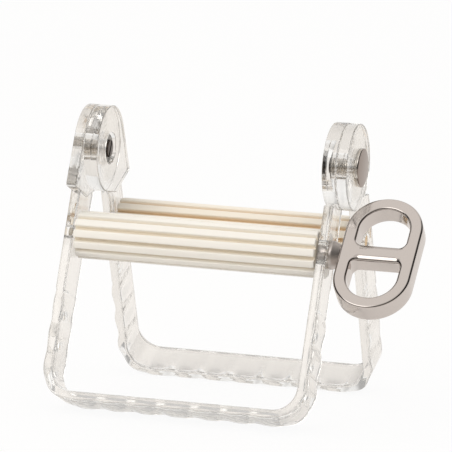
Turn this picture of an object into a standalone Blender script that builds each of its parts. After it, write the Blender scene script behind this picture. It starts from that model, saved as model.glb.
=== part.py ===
# Toothpaste tube squeezer: two clear hinged frames, two splined rollers and a turning key.
#
# World axes: +X runs along the hinge towards the key, +Y away from the front frame, +Z up.
# The origin is on the floor, under the centre of the whole part's box.
# Each frame is modelled in its own axes, with the hinge axis at the origin:
# x across the frame, y outward through a leg, z up along the legs.

import math

import bmesh
import bpy
import numpy as np
from mathutils import Matrix, Vector

MM = 0.001

# Frames: one U-shaped bar each, with an ear on top of each leg
FRAME_WIDTH = 90.0 * MM
BAR_THICKNESS = 3.35 * MM
BAR_DEPTH = 14.0 * MM
LEG_LENGTH = 88.0 * MM
LEG_OFFSET = 2.8 * MM
LEG_TOP = 8.0 * MM
LEG_LEAN = math.radians(23.3)
CORNER_RADIUS = 11.0 * MM
BAR_EDGE = 0.4 * MM
FOOT_CUT = 0.7 * MM

# The row of shallow pillows round the outside of each U; the plain upper leg stands back from them
SCALLOP_COUNT = 15
SCALLOP_START = 51.5 * MM
SCALLOP_DEPTH = 0.75 * MM
SCALLOP_SKEW = 0.75
SCALLOP_FULLNESS = 0.6
LEG_RECESS = 0.55 * MM
SCALLOP_LEAD = 1.2 * MM

# Ears
EAR_RADIUS = 14.4 * MM
EAR_BOSS = 1.3 * MM
EAR_PROUD = 0.06 * MM
EAR_EDGE = 0.5 * MM
EAR_FOOT = 17.5 * MM
SHIELD_CHAMFER_ANGLE = math.radians(46.0)
SHIELD_FLARE = 0.8 * MM
SHIELD_CORNER = 0.9 * MM
NOTCH_DEPTH = 4.0 * MM
SHOULDER_DROP = 16.2 * MM

# Clearances
SIDE_GAP = 0.4 * MM
SEAT_GAP = 0.15 * MM
RUNNING_GAP = 0.2 * MM
ROLLER_END_GAP = 0.5 * MM

# Hinge hardware
POST_DIAMETER = 5.0 * MM
POST_HEAD_DIAMETER = 13.0 * MM
POST_HEAD_THICKNESS = 1.5 * MM
POST_HEAD_EDGE = 0.25 * MM
COUNTERBORE_DIAMETER = 10.6 * MM
COUNTERBORE_DEPTH = 1.6 * MM
WASHER_DIAMETER = 9.6 * MM
WASHER_THICKNESS = 0.4 * MM
SCREW_DIAMETER = 2.6 * MM
SCREW_HEAD_DIAMETER = 6.4 * MM
SCREW_LENGTH = 5.0 * MM
SCREW_SLOT_WIDTH = 1.0 * MM
SCREW_SLOT_DEPTH = 0.45 * MM
SCREW_SLOT_TURN = math.radians(62.0)
SCREW_EDGE = 0.12 * MM

# Rollers
ROLLER_DIAMETER = 15.8 * MM
ROLLER_DROP = 30.9 * MM
ROLLER_OFFSET = 3.8 * MM
SPLINE_COUNT = 12
SPLINE_DEPTH = 2.1 * MM
TOOTH_SHARE = 0.62
FRONT_ROLLER_TURN = math.radians(3.5)
ROLLER_EDGE = 0.25 * MM
ROLLER_BORE_DIAMETER = 8.6 * MM
PLUG_LENGTH = 11.0 * MM
PLUG_EDGE = 0.3 * MM
PLUG_COLLAR_DIAMETER = 10.4 * MM
PLUG_COLLAR_THICKNESS = 0.15 * MM
STUB_DIAMETER = 4.4 * MM
STUB_RECESS = 0.2 * MM

# Turning key
KEY_WIDTH = 25.5 * MM
KEY_LENGTH = 44.2 * MM
KEY_THICKNESS = 7.2 * MM
KEY_BAND = 4.3 * MM
KEY_BAR_WIDTH = 6.2 * MM
KEY_HOLE_CORNER = 2.0 * MM
KEY_EDGE = 0.45 * MM
KEY_LEAN = math.radians(45.8)
KEY_SIDE_GAP = 0.3 * MM
JOURNAL_DIAMETER = 8.0 * MM
HUB_DIAMETER = 9.4 * MM
DRIVE_SQUARE = 4.6 * MM
DRIVE_LENGTH = 9.0 * MM

# Fineness of round shapes
ARC_STEP = math.radians(7.5)
SCALLOP_STEPS = 6
ROUND_SIDES = 36
TURNED_SIDES = 28
SMOOTH_ANGLE = math.radians(30.0)
DRAWING_SLANT = math.radians(31.0)

# Worked out from the sizes above
FRAME_SHIFT = (BAR_THICKNESS + SIDE_GAP) / 2
LEG_INNER_Y = LEG_OFFSET - BAR_DEPTH / 2
LEG_OUTER_Y = LEG_OFFSET + BAR_DEPTH / 2
HINGE_HEIGHT = (LEG_LENGTH * math.cos(LEG_LEAN) - LEG_INNER_Y * math.sin(LEG_LEAN)) - FOOT_CUT
OUTER_EAR = (FRAME_WIDTH / 2 - BAR_THICKNESS - EAR_PROUD, FRAME_WIDTH / 2 + EAR_PROUD)
INNER_EAR = (-FRAME_WIDTH / 2 - EAR_PROUD, -FRAME_WIDTH / 2 + BAR_THICKNESS + EAR_BOSS)
INNER_EAR_FACE = FRAME_WIDTH / 2 - FRAME_SHIFT - BAR_THICKNESS - EAR_BOSS
COUNTERBORE_FLOOR = INNER_EAR_FACE + COUNTERBORE_DEPTH
ROLLER_LENGTH = FRAME_WIDTH - 2 * (BAR_THICKNESS + ROLLER_END_GAP)
LEG_FACE = FRAME_WIDTH / 2 - LEG_RECESS
KEY_LEFT = LEG_FACE + FRAME_SHIFT + KEY_SIDE_GAP
KEY_RIGHT = KEY_LEFT + KEY_WIDTH
POST_SEAT = FRAME_WIDTH / 2 + FRAME_SHIFT + EAR_PROUD + SEAT_GAP
HEAD_LEFT = -POST_SEAT - POST_HEAD_THICKNESS
CENTRE_X = (KEY_RIGHT + HEAD_LEFT) / 2


def new_collection(name):
    collection = bpy.data.collections.new(name)
    bpy.context.scene.collection.children.link(collection)
    return collection


def material(name, colour, roughness, metallic=0.0, alpha=1.0):
    made = bpy.data.materials.new(name)
    made.use_nodes = True
    shader = made.node_tree.nodes["Principled BSDF"]
    shader.inputs["Base Color"].default_value = (*colour, 1.0)
    shader.inputs["Roughness"].default_value = roughness
    shader.inputs["Metallic"].default_value = metallic
    shader.inputs["Alpha"].default_value = alpha
    made.diffuse_color = (*colour, alpha)
    return made


def arc(centre, radius, start, end):
    """Points on a circle about centre, from angle start to angle end, both kept."""
    count = max(2, math.ceil(abs(end - start) / ARC_STEP) + 1)
    angles = np.linspace(start, end, count)
    return [(centre[0] + radius * math.cos(a), centre[1] + radius * math.sin(a)) for a in angles]


def slab(name, outlines, low, high, edge=0.0):
    """A flat outline in the XY plane, with any further outlines as holes, from z low to high.

    The edge is a small rounding along the rim of both faces. The outline is drawn at a slant
    and the mesh turned back, because a fill can miss corners that lie level with each other.
    """
    slant = Matrix.Rotation(DRAWING_SLANT, 4, "Z")
    curve = bpy.data.curves.new(name, "CURVE")
    curve.dimensions = "2D"
    curve.fill_mode = "BOTH"
    curve.extrude = (high - low) / 2 - edge
    curve.bevel_depth = edge
    curve.bevel_resolution = 1 if edge else 0
    curve.offset = -edge
    for outline in outlines:
        spline = curve.splines.new("POLY")
        spline.points.add(len(outline) - 1)
        for point, (x, y) in zip(spline.points, outline):
            point.co = (*(slant @ Vector((x, y, 0))), 1)
        spline.use_cyclic_u = True
    holder = bpy.data.objects.new(name, curve)
    bpy.context.scene.collection.objects.link(holder)
    bpy.context.view_layer.update()
    evaluated = holder.evaluated_get(bpy.context.evaluated_depsgraph_get())
    mesh = bpy.data.meshes.new_from_object(evaluated)
    bpy.data.objects.remove(holder)
    mesh.transform(Matrix.Translation((0, 0, (low + high) / 2)) @ slant.inverted())
    close_mesh(mesh)
    mesh.name = name
    return mesh


def close_mesh(mesh):
    """Weld the loose caps and turn every face outward."""
    work = bmesh.new()
    work.from_mesh(mesh)
    bmesh.ops.remove_doubles(work, verts=work.verts, dist=0.000002)
    bmesh.ops.recalc_face_normals(work, faces=work.faces)
    work.to_mesh(mesh)
    work.free()


def cylinder(name, diameter, low, high, sides=ROUND_SIDES):
    """A round bar along X from low to high."""
    work = bmesh.new()
    turn = Matrix.Rotation(math.radians(90.0), 4, "Y")
    place = Matrix.Translation(((low + high) / 2, 0, 0)) @ turn
    bmesh.ops.create_cone(work, cap_ends=True, segments=sides, radius1=diameter / 2,
                          radius2=diameter / 2, depth=high - low, matrix=place)
    mesh = bpy.data.meshes.new(name)
    work.to_mesh(mesh)
    work.free()
    return mesh


def box(name, low, high):
    """A block between two corners."""
    work = bmesh.new()
    size = [b - a for a, b in zip(low, high)]
    middle = [(a + b) / 2 for a, b in zip(low, high)]
    place = Matrix.Translation(middle) @ Matrix.Diagonal((*size, 1))
    bmesh.ops.create_cube(work, size=1.0, matrix=place)
    mesh = bpy.data.meshes.new(name)
    work.to_mesh(mesh)
    work.free()
    return mesh


def along_x(mesh):
    """Turn a slab so that its outline lies in the YZ plane and its thickness runs along X."""
    mesh.transform(Matrix(((0, 0, 1, 0), (1, 0, 0, 0), (0, 1, 0, 0), (0, 0, 0, 1))))
    return mesh


def along_y(mesh):
    """Turn a slab so that its outline lies in the XZ plane and its top faces -Y."""
    mesh.transform(Matrix.Rotation(math.radians(90.0), 4, "X"))
    return mesh


def add_object(name, mesh, collection, finish=None):
    made = bpy.data.objects.new(name, mesh)
    collection.objects.link(made)
    if finish:
        mesh.materials.clear()
        mesh.materials.append(finish)
    return made


def cut_or_join(target, meshes, operation):
    """Apply one exact Boolean with each mesh in turn, and keep the tools as hidden guides."""
    for number, mesh in enumerate(meshes):
        tool = add_object(f"{target.name}_{operation.lower()}_{mesh.name}", mesh, cutters)
        tool.hide_render = True
        tool.display_type = "WIRE"
        step = target.modifiers.new(f"{operation} {number}", "BOOLEAN")
        step.operation = operation
        step.solver = "EXACT"
        step.object = tool
        bpy.context.view_layer.update()
        evaluated = target.evaluated_get(bpy.context.evaluated_depsgraph_get())
        result = bpy.data.meshes.new_from_object(evaluated)
        target.modifiers.clear()
        target.data = result


def finish_piece(made, carrier):
    """Clean the mesh, shade it smooth and hang it on the empty that carries it."""
    close_mesh(made.data)
    made.data.shade_smooth()
    made.data.set_sharp_from_angle(angle=SMOOTH_ANGLE)
    made.parent = carrier
    return made


def pillow_sink(distance, total):
    """How far the scalloped face stands below its crests at a distance along the U.

    Both halves of the U are alike. Going down a leg, each pillow rises fast and falls slowly.
    """
    turns = min(distance, total - distance) / (total / SCALLOP_COUNT)
    share = (turns % 1) ** SCALLOP_SKEW
    return SCALLOP_DEPTH * (1 - max(math.sin(math.pi * share), 0) ** SCALLOP_FULLNESS)


def bar_outline():
    """The U in its own plane: a scalloped outer side, and a plain inner side with fillets."""
    half = FRAME_WIDTH / 2
    leg_run = LEG_LENGTH - CORNER_RADIUS - SCALLOP_START
    corner_run = math.pi / 2 * CORNER_RADIUS
    bottom_run = FRAME_WIDTH - 2 * CORNER_RADIUS
    total = 2 * (leg_run + corner_run) + bottom_run
    steps = SCALLOP_COUNT * SCALLOP_STEPS
    outer = [(-LEG_FACE, -LEG_TOP), (-LEG_FACE, -SCALLOP_START + SCALLOP_LEAD)]
    for distance in np.linspace(0, total, steps + 1):
        point, normal = point_on_u(distance, leg_run, corner_run, bottom_run)
        sink = pillow_sink(distance, total)
        outer.append((point[0] - normal[0] * sink, point[1] - normal[1] * sink))
    outer += [(LEG_FACE, -SCALLOP_START + SCALLOP_LEAD), (LEG_FACE, -LEG_TOP)]
    inner_radius = CORNER_RADIUS - BAR_THICKNESS
    inner_x = half - BAR_THICKNESS
    corner_x = half - CORNER_RADIUS
    corner_z = -LEG_LENGTH + CORNER_RADIUS
    inner = [(inner_x, -LEG_TOP)]
    inner += arc((corner_x, corner_z), inner_radius, 0, -math.pi / 2)
    inner += arc((-corner_x, corner_z), inner_radius, -math.pi / 2, -math.pi)
    inner.append((-inner_x, -LEG_TOP))
    return outer + inner


def point_on_u(distance, leg_run, corner_run, bottom_run):
    """A point and its outward direction on the plain U, from the left leg round to the right."""
    half = FRAME_WIDTH / 2
    if distance <= leg_run:
        return (-half, -SCALLOP_START - distance), (-1, 0)
    distance -= leg_run
    centre_x = half - CORNER_RADIUS
    centre_z = -LEG_LENGTH + CORNER_RADIUS
    if distance <= corner_run:
        angle = math.pi + distance / CORNER_RADIUS
        normal = (math.cos(angle), math.sin(angle))
        return (-centre_x + CORNER_RADIUS * normal[0], centre_z + CORNER_RADIUS * normal[1]), normal
    distance -= corner_run
    if distance <= bottom_run:
        return (-centre_x + distance, -LEG_LENGTH), (0, -1)
    distance -= bottom_run
    if distance <= corner_run:
        angle = 1.5 * math.pi + distance / CORNER_RADIUS
        normal = (math.cos(angle), math.sin(angle))
        return (centre_x + CORNER_RADIUS * normal[0], centre_z + CORNER_RADIUS * normal[1]), normal
    return (half, centre_z + distance - corner_run), (1, 0)


def round_ear():
    """A disc about the hinge axis."""
    return arc((0, 0), EAR_RADIUS, 0, 2 * math.pi)[:-1]


def shield_ear():
    """A disc whose outward side runs straight down to a square foot, chamfered inward."""
    tangent = -math.pi / 2 - SHIELD_CHAMFER_ANGLE
    foot_y = (EAR_FOOT * math.cos(SHIELD_CHAMFER_ANGLE) - EAR_RADIUS) / math.sin(SHIELD_CHAMFER_ANGLE)
    points = arc((0, 0), EAR_RADIUS, 0, tangent + 2 * math.pi)
    far_y = EAR_RADIUS + SHIELD_FLARE
    points += [(foot_y, -EAR_FOOT), (far_y - SHIELD_CORNER, -EAR_FOOT)]
    points += [(far_y, -EAR_FOOT + SHIELD_CORNER)]
    return points


def notch_cutter():
    """Cuts the leg's top back to the V-shaped notch beside a round ear."""
    notch_z = -math.sqrt(EAR_RADIUS ** 2 - NOTCH_DEPTH ** 2)
    beyond = LEG_OUTER_Y + BAR_THICKNESS
    slope = (SHOULDER_DROP + notch_z) / (LEG_OUTER_Y - NOTCH_DEPTH)
    far_z = notch_z - slope * (beyond - NOTCH_DEPTH)
    return [(NOTCH_DEPTH, notch_z), (beyond, far_z), (beyond, 0), (NOTCH_DEPTH, 0)]


def frame(name, shielded_side, bores, axes):
    """One clear frame, standing on its foot land.

    shielded_side is -1 or 1: the side in the frame's own x whose ear has the square foot.
    bores gives the diameters of the roller bearings at own -x and +x.
    """
    half = FRAME_WIDTH / 2
    bar = slab(name, [bar_outline()], -LEG_OUTER_Y, -LEG_INNER_Y, BAR_EDGE)
    made = add_object(name, along_y(bar), model, clear)
    past = BAR_THICKNESS
    side = sorted(-shielded_side * reach for reach in (half + past, half - 2 * past))
    cut_or_join(made, [along_x(slab("notch", [notch_cutter()], *side))], "DIFFERENCE")

    outer_shape, inner_shape = (shield_ear, round_ear) if shielded_side > 0 else (round_ear, shield_ear)
    outer_ear = along_x(slab("outer_ear", [outer_shape()], *OUTER_EAR, EAR_EDGE))
    inner_ear = along_x(slab("inner_ear", [inner_shape()], *INNER_EAR, EAR_EDGE))
    cut_or_join(made, [outer_ear, inner_ear], "UNION")

    post_bore = POST_DIAMETER + 2 * RUNNING_GAP
    cutters_here = [
        cylinder("outer_post", post_bore, OUTER_EAR[0] - past, OUTER_EAR[1] + past),
        cylinder("inner_post", post_bore, INNER_EAR[0] - past, INNER_EAR[1] + past),
        cylinder("counterbore", COUNTERBORE_DIAMETER, INNER_EAR[1] - COUNTERBORE_DEPTH, INNER_EAR[1] + past),
    ]
    for sign, diameter in zip((-1, 1), bores):
        reach = sorted(sign * x for x in (half + past, half - 2 * past))
        bore = cylinder("roller_bore", diameter + 2 * RUNNING_GAP, *reach)
        bore.transform(Matrix.Translation((0, ROLLER_OFFSET, -ROLLER_DROP)))
        cutters_here.append(bore)
    floor = box("floor", (-FRAME_WIDTH, -2 * LEG_LENGTH, -HINGE_HEIGHT - BAR_DEPTH),
                (FRAME_WIDTH, 2 * LEG_LENGTH, -HINGE_HEIGHT))
    floor.transform(Matrix.Rotation(-LEG_LEAN, 4, "X"))
    cut_or_join(made, cutters_here + [floor], "DIFFERENCE")
    return finish_piece(made, axes)


def turned(name, profile, finish, side=1):
    """A turned solid about X: the profile is (x, radius) pairs from left to right.

    side -1 turns it end for end, for the left-hand copy.
    """
    work = bmesh.new()
    verts = [work.verts.new((radius, 0, -x)) for x, radius in profile]
    for upper, lower in zip(verts, verts[1:]):
        work.edges.new((upper, lower))
    mesh = bpy.data.meshes.new(name)
    work.to_mesh(mesh)
    work.free()
    made = add_object(name, mesh, model)
    screw = made.modifiers.new("Turn", "SCREW")
    screw.axis = "Z"
    screw.steps = TURNED_SIDES
    screw.render_steps = TURNED_SIDES
    screw.use_merge_vertices = True
    screw.merge_threshold = 0.000002
    bpy.context.view_layer.update()
    evaluated = made.evaluated_get(bpy.context.evaluated_depsgraph_get())
    result = bpy.data.meshes.new_from_object(evaluated)
    made.modifiers.clear()
    made.data = result
    result.transform(Matrix.Rotation(math.radians(-90.0), 4, "Y"))
    if side < 0:
        result.transform(Matrix.Rotation(math.pi, 4, "Z"))
    result.materials.clear()
    result.materials.append(finish)
    close_mesh(result)
    return made


def hinge_post(name, side):
    """A chrome binding post: a broad flat head outside the outer ear, and a bored barrel."""
    seat = POST_SEAT
    face = seat + POST_HEAD_THICKNESS
    bore_end = COUNTERBORE_FLOOR + SCREW_LENGTH + SEAT_GAP
    barrel = POST_DIAMETER / 2
    head = POST_HEAD_DIAMETER / 2
    bore = SCREW_DIAMETER / 2 + SEAT_GAP
    profile = [
        (bore_end, 0), (bore_end, bore), (COUNTERBORE_FLOOR, bore), (COUNTERBORE_FLOOR, barrel),
        (seat, barrel), (seat, head - POST_HEAD_EDGE), (seat + POST_HEAD_EDGE, head),
        (face - POST_HEAD_EDGE, head), (face, head - POST_HEAD_EDGE), (face, 0),
    ]
    return finish_piece(turned(name, profile, chrome, side), hinge_axis)


def hinge_washer(name, side):
    """A thin friction washer on the floor of the counterbore."""
    high = COUNTERBORE_FLOOR - SEAT_GAP
    rim = WASHER_DIAMETER / 2
    hole = SCREW_DIAMETER / 2 + SEAT_GAP
    low = high - WASHER_THICKNESS
    profile = [(low, hole), (low, rim), (high, rim), (high, hole), (low, hole)]
    return finish_piece(turned(name, profile, steel, side), hinge_axis)


def hinge_screw(name, side):
    """The slotted screw that closes the post from the inside of the frame."""
    seat = COUNTERBORE_FLOOR - WASHER_THICKNESS - 2 * SEAT_GAP
    face = INNER_EAR_FACE + SEAT_GAP
    tip = COUNTERBORE_FLOOR + SCREW_LENGTH
    head = SCREW_HEAD_DIAMETER / 2
    shank = SCREW_DIAMETER / 2
    edge = SCREW_EDGE
    profile = [
        (face, 0), (face, head - edge), (face + edge, head), (seat, head),
        (seat, shank), (tip - edge, shank), (tip, shank - edge), (tip, 0),
    ]
    made = turned(name, profile, chrome, side)
    slot_x = sorted(side * x for x in (face - SCREW_SLOT_DEPTH, face + SCREW_SLOT_DEPTH))
    slot = box("slot", (slot_x[0], -head, -SCREW_SLOT_WIDTH / 2), (slot_x[1], head, SCREW_SLOT_WIDTH / 2))
    slot.transform(Matrix.Rotation(SCREW_SLOT_TURN, 4, "X"))
    cut_or_join(made, [slot], "DIFFERENCE")
    return finish_piece(made, hinge_axis)


def spline_outline():
    """The roller's section: broad teeth with narrow flat-bottomed grooves between them."""
    pitch = 2 * math.pi / SPLINE_COUNT
    outer = ROLLER_DIAMETER / 2
    root = outer - SPLINE_DEPTH
    round_off = 0.06 * pitch
    tooth = TOOTH_SHARE * pitch
    points = []
    for index in range(SPLINE_COUNT):
        middle = (index + 0.5) * pitch
        shoulder = outer - ROLLER_EDGE
        crest = np.linspace(middle - tooth / 2 + round_off, middle + tooth / 2 - round_off, 4)
        floor = np.linspace(middle + tooth / 2 + round_off, middle + pitch - tooth / 2 - round_off, 3)
        points.append((shoulder, middle - tooth / 2))
        points += [(outer, a) for a in crest]
        points.append((shoulder, middle + tooth / 2))
        points.append((root + ROLLER_EDGE, middle + tooth / 2 + round_off / 2))
        points += [(root, a) for a in floor]
        points.append((root + ROLLER_EDGE, middle + pitch - tooth / 2 - round_off / 2))
    return [(r * math.cos(a), r * math.sin(a)) for r, a in points]


def roller(name, axis, turn=0.0):
    """A splined tube across the frame, lying on the roller axis and turned about it."""
    bore = arc((0, 0), ROLLER_BORE_DIAMETER / 2, 0, 2 * math.pi)[:-1]
    half = ROLLER_LENGTH / 2
    mesh = along_x(slab(name, [spline_outline(), bore], -half, half))
    mesh.transform(Matrix.Rotation(turn, 4, "X"))
    return finish_piece(add_object(name, mesh, model, cream), axis)


def end_plug(name, axis, side):
    """A plug in the roller's end with the stub axle that turns in the leg."""
    end = ROLLER_LENGTH / 2
    start = end - PLUG_LENGTH
    seat = end + SEAT_GAP
    collar_end = seat + PLUG_COLLAR_THICKNESS
    tip = LEG_FACE - STUB_RECESS
    body = ROLLER_BORE_DIAMETER / 2 - SEAT_GAP
    collar = PLUG_COLLAR_DIAMETER / 2
    stub = STUB_DIAMETER / 2
    edge = PLUG_EDGE
    profile = [
        (start, 0), (start, body - edge), (start + edge, body), (seat, body), (seat, collar),
        (collar_end, collar), (collar_end, stub), (tip - edge, stub), (tip, stub - edge), (tip, 0),
    ]
    return finish_piece(turned(name, profile, cream, side), axis)


def drive_plug(name, axis, side):
    """The plug in the driven end: a square socket takes the key's spindle."""
    end = ROLLER_LENGTH / 2
    start = end - PLUG_LENGTH
    body = ROLLER_BORE_DIAMETER / 2 - SEAT_GAP
    profile = [(start, 0), (start, body - PLUG_EDGE), (start + PLUG_EDGE, body), (end, body), (end, 0)]
    made = turned(name, profile, cream, side)
    half = DRIVE_SQUARE / 2 + SEAT_GAP
    reach = sorted(side * x for x in (end - DRIVE_LENGTH - SEAT_GAP, end + PLUG_LENGTH))
    socket = box("socket", (reach[0], -half, -half), (reach[1], half, half))
    socket.transform(Matrix.Rotation(-KEY_LEAN, 4, "X"))
    cut_or_join(made, [socket], "DIFFERENCE")
    return finish_piece(made, axis)


def key_outline():
    """The key's outer edge: two half circles joined by short straight sides."""
    radius = KEY_WIDTH / 2
    rise = KEY_LENGTH / 2 - radius
    return arc((0, rise), radius, 0, math.pi) + arc((0, -rise), radius, math.pi, 2 * math.pi)


def key_hole(sign):
    """One D-shaped finger hole: the ring's inner arc above, the crossbar's edge below."""
    radius = KEY_WIDTH / 2 - KEY_BAND
    rise = KEY_LENGTH / 2 - KEY_WIDTH / 2
    corner = KEY_HOLE_CORNER
    bar = KEY_BAR_WIDTH / 2
    points = arc((0, rise), radius, 0, math.pi)
    points += arc((-radius + corner, bar + corner), corner, math.pi, 1.5 * math.pi)
    points += arc((radius - corner, bar + corner), corner, 1.5 * math.pi, 2 * math.pi)
    return [(x, sign * y) for x, y in points]


def turning_key(name, axis):
    """The chrome key: a ring with a crossbar, a hub, a journal and a square spindle."""
    outlines = [key_outline(), key_hole(1), key_hole(-1)]
    mesh = along_y(slab(name, outlines, -KEY_THICKNESS / 2, KEY_THICKNESS / 2, KEY_EDGE))
    left = KEY_LEFT + FRAME_SHIFT
    mesh.transform(Matrix.Translation((left + KEY_WIDTH / 2, 0, 0)))
    made = add_object(name, mesh, model, chrome)
    end = ROLLER_LENGTH / 2
    root = left + KEY_BAND / 2
    hub = cylinder("hub", HUB_DIAMETER, LEG_FACE + SIDE_GAP, root)
    journal = cylinder("journal", JOURNAL_DIAMETER, end + SEAT_GAP, root - KEY_EDGE)
    half = DRIVE_SQUARE / 2
    spindle = box("spindle", (end - DRIVE_LENGTH, -half, -half), (root - 2 * KEY_EDGE, half, half))
    cut_or_join(made, [hub, journal, spindle], "UNION")
    made.data.transform(Matrix.Rotation(-KEY_LEAN, 4, "X"))
    return finish_piece(made, axis)


def empty(name, location, rotation=(0, 0, 0), parent=None):
    made = bpy.data.objects.new(name, None)
    bpy.context.scene.collection.objects.link(made)
    made.location = location
    made.rotation_euler = rotation
    made.parent = parent
    return made


for old in list(bpy.data.objects):
    bpy.data.objects.remove(old)

model = new_collection("toothpaste_tube_squeezer")
cutters = new_collection("cutters")
clear = material("clear polystyrene", (0.86, 0.85, 0.83), 0.05, alpha=0.35)
cream = material("cream ABS", (0.91, 0.86, 0.74), 0.35)
chrome = material("chrome plate", (0.62, 0.58, 0.55), 0.12, metallic=1.0)
steel = material("spring steel", (0.45, 0.44, 0.42), 0.35, metallic=1.0)

# The hinge axis, and each frame's own axes on it
hinge_axis = empty("hinge_axis", (-CENTRE_X, 0, HINGE_HEIGHT))
rear_axes = empty("rear_axes", (FRAME_SHIFT, 0, 0), (LEG_LEAN, 0, 0), hinge_axis)
front_axes = empty("front_axes", (-FRAME_SHIFT, 0, 0), (LEG_LEAN, 0, math.pi), hinge_axis)
rear_roller_axis = empty("rear_roller_axis", (0, ROLLER_OFFSET, -ROLLER_DROP), parent=rear_axes)
front_roller_axis = empty("front_roller_axis", (0, ROLLER_OFFSET, -ROLLER_DROP),
                          (-LEG_LEAN, 0, math.pi), front_axes)
front_roller_axis.rotation_mode = "ZYX"

# The front frame's own x runs the other way, so both square-footed ears are on the left
frame("rear_frame", -1, (STUB_DIAMETER, STUB_DIAMETER), rear_axes)
frame("front_frame", 1, (JOURNAL_DIAMETER, STUB_DIAMETER), front_axes)

for side, label in ((-1, "left"), (1, "right")):
    hinge_post(f"hinge_post_{label}", side)
    hinge_washer(f"hinge_washer_{label}", side)
    hinge_screw(f"hinge_screw_{label}", side)

roller("rear_roller", rear_roller_axis)
end_plug("rear_roller_plug_left", rear_roller_axis, -1)
end_plug("rear_roller_plug_right", rear_roller_axis, 1)
roller("front_roller", front_roller_axis, FRONT_ROLLER_TURN)
end_plug("front_roller_plug_left", front_roller_axis, -1)
drive_plug("front_roller_plug_driven", front_roller_axis, 1)
turning_key("turning_key", front_roller_axis)

bpy.context.view_layer.update()
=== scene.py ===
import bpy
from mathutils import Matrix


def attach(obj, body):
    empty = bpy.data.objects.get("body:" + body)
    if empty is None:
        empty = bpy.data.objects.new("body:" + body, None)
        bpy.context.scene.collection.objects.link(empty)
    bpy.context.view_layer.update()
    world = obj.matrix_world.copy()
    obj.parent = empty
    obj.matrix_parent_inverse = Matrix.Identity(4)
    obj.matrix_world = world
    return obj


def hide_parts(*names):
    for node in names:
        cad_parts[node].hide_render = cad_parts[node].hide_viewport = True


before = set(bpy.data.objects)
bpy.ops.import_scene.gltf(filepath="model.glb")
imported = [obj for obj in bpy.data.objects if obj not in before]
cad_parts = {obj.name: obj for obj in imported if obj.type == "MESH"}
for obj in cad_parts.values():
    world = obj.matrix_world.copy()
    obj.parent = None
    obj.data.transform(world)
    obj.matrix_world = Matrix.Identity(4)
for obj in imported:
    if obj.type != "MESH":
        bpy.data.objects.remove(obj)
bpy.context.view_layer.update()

# %% [markdown]
# # A clear toothpaste tube squeezer
#
# Two clear plastic frames are hinged like a stepladder. Each one carries a splined roller, and a
# chrome key turns the front one. Almost all of the object is transparent, so the edges and the
# curved faces of the plastic are what the eye sees. That is why every piece here is a fine, smooth
# surface worked out with numpy: light that is bent by a coarse mesh shows each of its facets.

# %% Libraries and the sizes that several pieces share
import math

import bmesh
import bpy
import numpy as np
from mathutils import Matrix, Vector

MM = 0.001
HINGE = np.array([-11.77, 0.0, 81.785]) * MM
LEAN = math.radians(23.3)
FRAME_SHIFT = 1.875 * MM
HALF_WIDTH = 45.0 * MM
BAR_THICKNESS = 3.35 * MM
BAR_INNER_Y, BAR_OUTER_Y = -4.2 * MM, 9.8 * MM
LEG_LENGTH = 88.0 * MM
EAR_RADIUS = 14.4 * MM
ROLLER_DROP, ROLLER_OFFSET = 30.9 * MM, 3.8 * MM

# %% [markdown]
# ## Where each frame stands
#
# A frame is worked out standing upright on its own axes, with the hinge at the origin: x across,
# y outward through a leg, z up. The rear frame then leans by 23.3 degrees, and the front frame is
# the same moulding turned half a turn, so that the legs pass each other side by side.

# %% Own axes to the world
def rotation_x(angle):
    """A turn about X: y and z mix with the cosine and the sine of the angle."""
    c, s = math.cos(angle), math.sin(angle)
    return np.array([[1, 0, 0], [0, c, -s], [0, s, c]])


def stand(points, which):
    """Own-axis points to the world: lean, half a turn for the front frame, shift, hinge height."""
    leaned = points @ rotation_x(LEAN).T
    if which == "front":
        leaned = leaned * np.array([-1, -1, 1]) - np.array([FRAME_SHIFT, 0, 0])
    else:
        leaned = leaned + np.array([FRAME_SHIFT, 0, 0])
    return leaned + HINGE


roller_centre = np.array([[0, ROLLER_OFFSET, -ROLLER_DROP]])
AXIS = {which: stand(roller_centre, which)[0] for which in ("front", "rear")}
print("roller axes in mm:", {which: np.round(point / MM, 2).tolist() for which, point in AXIS.items()})

# %% [markdown]
# ## Turning a grid of points into a closed mesh
#
# Every surface below is a grid: one parameter runs along the rows and the other along the
# columns. The grid can close on itself in either direction, like a ring or a tyre, and a tube's
# two ends can be capped. The signed volume tells which way the faces point.

# %% Grid to mesh
def new_object(name, data):
    """A new object that holds the data and stands in the scene."""
    made = bpy.data.objects.new(name, data)
    bpy.context.scene.collection.objects.link(made)
    return made


def surface(name, points, ring_rows=False, caps=False):
    """Quads between neighbours on a (rows, columns, 3) grid whose columns close on themselves."""
    rows, columns = points.shape[:2]
    index = np.arange(rows * columns).reshape(rows, columns)
    ends = [index[0].tolist(), index[-1, ::-1].tolist()] if caps else []
    index = np.hstack([index, index[:, :1]])
    if ring_rows:
        index = np.vstack([index, index[:1]])
    quads = np.stack([index[:-1, :-1], index[1:, :-1], index[1:, 1:], index[:-1, 1:]], -1)
    quads, flat = quads.reshape(-1, 4), points.reshape(-1, 3)
    mesh = bpy.data.meshes.new(name)
    mesh.from_pydata(flat.tolist(), [], quads.tolist() + ends)
    corners = flat[quads] - flat.mean(0)
    volume = np.einsum("ij,ij->", corners[:, 0], np.cross(corners[:, 1], corners[:, 2]))
    volume += np.einsum("ij,ij->", corners[:, 0], np.cross(corners[:, 2], corners[:, 3]))
    if volume < 0:
        mesh.flip_normals()
    mesh.validate()
    return new_object(name, mesh)


def smooth(piece, angle=14.0):
    """Smooth shading, kept sharp where two faces meet at more than the angle in degrees."""
    piece.data.shade_smooth()
    piece.data.set_sharp_from_angle(angle=math.radians(angle))
    return piece


# %% [markdown]
# ## Rounded corners
#
# Moulded and plated pieces have no knife edges: a small radius catches a thin line of light. Each
# section is drawn as a few corners, and every corner is swapped for an arc of its own radius.

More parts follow.
